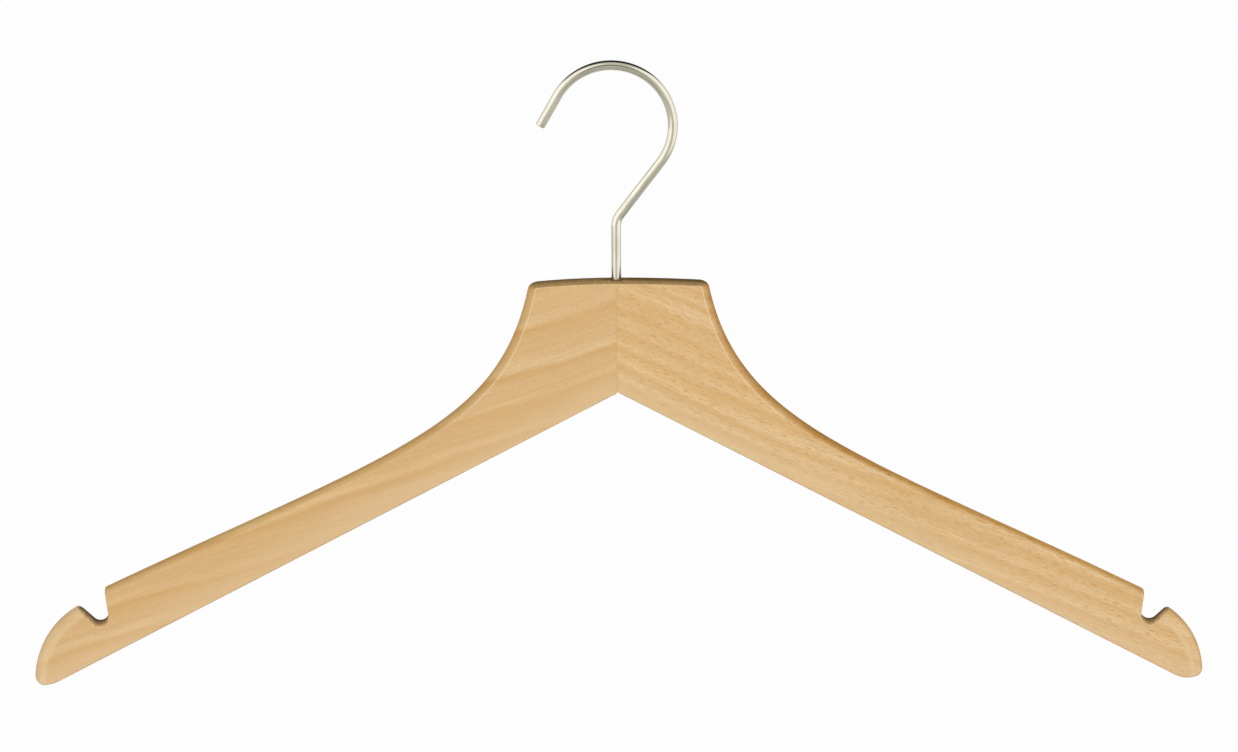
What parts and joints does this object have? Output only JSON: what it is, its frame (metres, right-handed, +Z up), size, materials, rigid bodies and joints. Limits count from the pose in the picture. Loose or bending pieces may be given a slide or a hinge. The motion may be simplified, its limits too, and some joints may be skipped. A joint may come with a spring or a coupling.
{
  "type": "clothes hanger",
  "caption": "Flat wooden clothes hanger with arms joined at the neck, strap notches by the rounded ends, and a bent wire hook that turns in the neck.",
  "frame": {"origin": "where the hanger hangs: on the swivel axis, at the inside of the hook's bow", "axes": "+X along the arms towards the right one, with the hook open towards -X; +Y away from the viewer, out of the back face; +Z up along the swivel axis"},
  "size_m": [0.445, 0.012, 0.2414],
  "materials": {
    "beech": "steamed beech under a clear satin lacquer",
    "satin_nickel": "drawn steel wire, satin nickel plated",
    "steel_pin": "plain bright steel"
  },
  "bodies": {
    "hook": {"hook": "satin_nickel"},
    "arms": {"left_arm": "beech", "right_arm": "beech", "retaining_pin": "steel_pin"}
  },
  "joints": [
    {"name": "swivel", "type": "hinge", "parent": "hook", "child": "arms", "pos_m": [0, 0, -0.08179], "axis": [0, 0, 1], "continuous": true}
  ]
}
